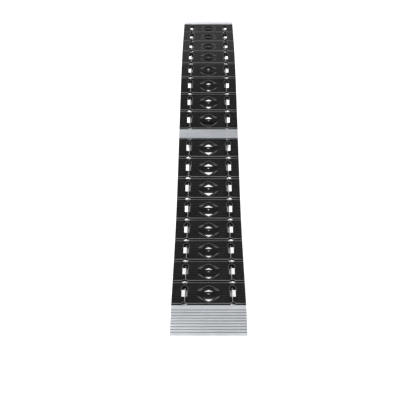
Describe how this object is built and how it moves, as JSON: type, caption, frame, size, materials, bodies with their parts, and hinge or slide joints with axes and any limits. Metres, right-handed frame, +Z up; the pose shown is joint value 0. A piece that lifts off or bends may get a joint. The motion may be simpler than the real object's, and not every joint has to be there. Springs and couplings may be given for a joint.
{
  "type": "folding loading ramp",
  "caption": "Narrow folding ramp with an S-shaped side profile, moulded anti-slip treads on steel rails, metal end plates and a hinge under its middle, for loading a vehicle.",
  "frame": {"origin": "centre of the bounding box's bottom face, on the floor that the ground plate and the feet stand on, with the ramp unfolded and its lip raised as on a tailgate", "axes": "+Y up the ramp from the ground end to the lip, +X to the right when looking up the ramp, +Z up"},
  "size_m": [0.3048, 2.1648, 0.6846],
  "materials": {
    "tread_plastic": "moulded black polyolefin with a fine grain",
    "rung_black": "black powder coat",
    "rail_steel": "zinc-plated tube",
    "plate_aluminium": "mill-finish extrusion",
    "hinge_steel": "zinc-plated plate",
    "fastener_steel": "bright zinc-plated",
    "foot_rubber": "matt",
    "plug_plastic": "moulded"
  },
  "bodies": {
    "upper_half": {"upper_tread_1": "tread_plastic", "upper_tread_2": "tread_plastic", "upper_tread_3": "tread_plastic", "upper_tread_4": "tread_plastic", "upper_tread_5": "tread_plastic", "upper_tread_6": "tread_plastic", "upper_tread_7": "tread_plastic", "upper_tread_8": "tread_plastic", "upper_rung_1": "rung_black", "upper_rung_2": "rung_black", "upper_rung_3": "rung_black", "upper_rung_4": "rung_black", "upper_rung_5": "rung_black", "upper_rung_6": "rung_black", "upper_rung_7": "rung_black", "upper_rung_8": "rung_black", "upper_left_rail": "rail_steel", "upper_right_rail": "rail_steel", "upper_centre_plate": "plate_aluminium", "lip_plate": "plate_aluminium", "lip_pad": "foot_rubber", "upper_hinge_rung": "rung_black", "left_rail_plug": "plug_plastic", "left_hinge_knuckle": "hinge_steel", "right_rail_plug": "plug_plastic", "right_hinge_knuckle": "hinge_steel"},
    "lower_half": {"lower_tread_1": "tread_plastic", "lower_tread_2": "tread_plastic", "lower_tread_3": "tread_plastic", "lower_tread_4": "tread_plastic", "lower_tread_5": "tread_plastic", "lower_tread_6": "tread_plastic", "lower_tread_7": "tread_plastic", "lower_tread_8": "tread_plastic", "lower_rung_1": "rung_black", "lower_rung_2": "rung_black", "lower_rung_3": "rung_black", "lower_rung_4": "rung_black", "lower_rung_5": "rung_black", "lower_rung_6": "rung_black", "lower_rung_7": "rung_black", "lower_rung_8": "rung_black", "lower_left_rail": "rail_steel", "lower_right_rail": "rail_steel", "lower_centre_plate": "plate_aluminium", "ground_plate": "plate_aluminium", "left_ground_foot": "foot_rubber", "left_hinge_bracket": "hinge_steel", "left_hinge_pin": "fastener_steel", "left_hinge_nut": "fastener_steel", "right_ground_foot": "foot_rubber", "right_hinge_bracket": "hinge_steel", "right_hinge_pin": "fastener_steel", "right_hinge_nut": "fastener_steel"}
  },
  "joints": [
    {"name": "fold", "type": "hinge", "parent": "upper_half", "child": "lower_half", "pos_m": [0, 0.06294, 0.31596], "axis": [1, 0, 0], "range_deg": [0, 180]}
  ]
}
